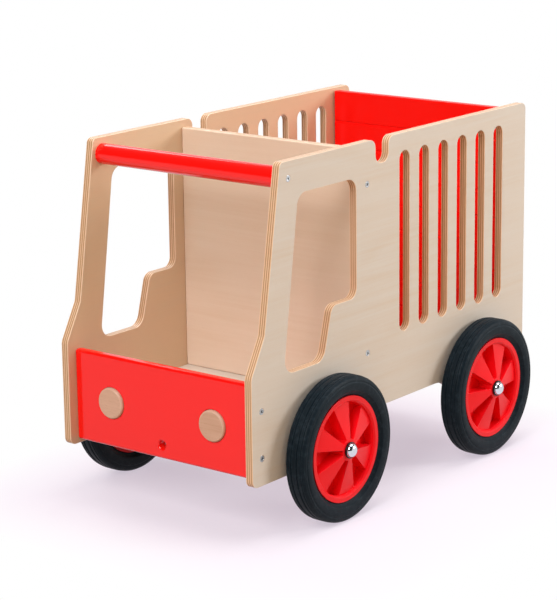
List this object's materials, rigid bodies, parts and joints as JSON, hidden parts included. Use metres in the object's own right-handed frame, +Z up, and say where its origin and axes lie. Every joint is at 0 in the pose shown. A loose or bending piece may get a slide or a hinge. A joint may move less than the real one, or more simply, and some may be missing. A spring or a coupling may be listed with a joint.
{
  "type": "wooden toy animal transporter",
  "caption": "Push-along wooden toy truck with an open cab, slatted load bed, fold-down grooved ramp and rubber-tyred wheels, for carrying dolls and toy animals.",
  "frame": {"origin": "on the ground below the middle of the side panels' length and width", "axes": "the transporter faces -Y, its left side is +X, +Z is up"},
  "size_m": [0.374, 0.568, 0.435],
  "materials": {
    "birch_plywood": "clear-lacquered birch plywood with eased edges showing the plies",
    "beech": "clear-lacquered beech, turned face",
    "red_lacquer": "opaque red satin lacquer on wood",
    "red_plastic": "moulded red plastic, semi-gloss",
    "tyre_rubber": "solid black rubber, matt",
    "steel": "bright zinc-plated steel",
    "chrome": "polished chrome on the domed hub caps"
  },
  "bodies": {
    "chassis": {"side_panel_left": "birch_plywood", "side_panel_right": "birch_plywood", "bumper_board": "red_lacquer", "headlight_left": "beech", "headlight_right": "beech", "cab_crossbar": "red_lacquer", "cab_partition": "birch_plywood", "floor_board": "birch_plywood", "ramp_stop_left": "birch_plywood", "ramp_stop_right": "birch_plywood", "ramp_pivot_pin_left": "steel", "ramp_pivot_pin_right": "steel", "front_axle": "steel", "rear_axle": "steel", "washer_front_left": "steel", "hub_cap_front_left": "chrome", "washer_front_right": "steel", "hub_cap_front_right": "chrome", "washer_rear_left": "steel", "hub_cap_rear_left": "chrome", "washer_rear_right": "steel", "hub_cap_rear_right": "chrome", "crossbar_screw_left": "steel", "crossbar_screw_right": "steel", "partition_screw_upper_left": "steel", "partition_screw_upper_right": "steel", "partition_screw_lower_left": "steel", "partition_screw_lower_right": "steel", "bumper_screw_upper_left": "steel", "bumper_screw_upper_right": "steel", "bumper_screw_lower_left": "steel", "bumper_screw_lower_right": "steel", "floor_screw_front_left": "steel", "floor_screw_front_right": "steel", "floor_screw_rear_left": "steel", "floor_screw_rear_right": "steel"},
    "ramp": {"loading_ramp": "red_lacquer"},
    "wheel_front_left": {"wheel_rim_front_left": "red_plastic", "tyre_front_left": "tyre_rubber"},
    "wheel_front_right": {"wheel_rim_front_right": "red_plastic", "tyre_front_right": "tyre_rubber"},
    "wheel_rear_left": {"wheel_rim_rear_left": "red_plastic", "tyre_rear_left": "tyre_rubber"},
    "wheel_rear_right": {"wheel_rim_rear_right": "red_plastic", "tyre_rear_right": "tyre_rubber"}
  },
  "joints": [
    {"name": "ramp_hinge", "type": "hinge", "parent": "chassis", "child": "ramp", "pos_m": [0, 0.253, 0.117], "axis": [-1, 0, 0], "range_deg": [0, 110]},
    {"name": "wheel_front_left_spin", "type": "hinge", "parent": "chassis", "child": "wheel_front_left", "pos_m": [0.1632, -0.146, 0.0875], "axis": [1, 0, 0], "continuous": true},
    {"name": "wheel_front_right_spin", "type": "hinge", "parent": "chassis", "child": "wheel_front_right", "pos_m": [-0.1632, -0.146, 0.0875], "axis": [1, 0, 0], "continuous": true},
    {"name": "wheel_rear_left_spin", "type": "hinge", "parent": "chassis", "child": "wheel_rear_left", "pos_m": [0.1632, 0.1695, 0.0875], "axis": [1, 0, 0], "continuous": true},
    {"name": "wheel_rear_right_spin", "type": "hinge", "parent": "chassis", "child": "wheel_rear_right", "pos_m": [-0.1632, 0.1695, 0.0875], "axis": [1, 0, 0], "continuous": true}
  ]
}
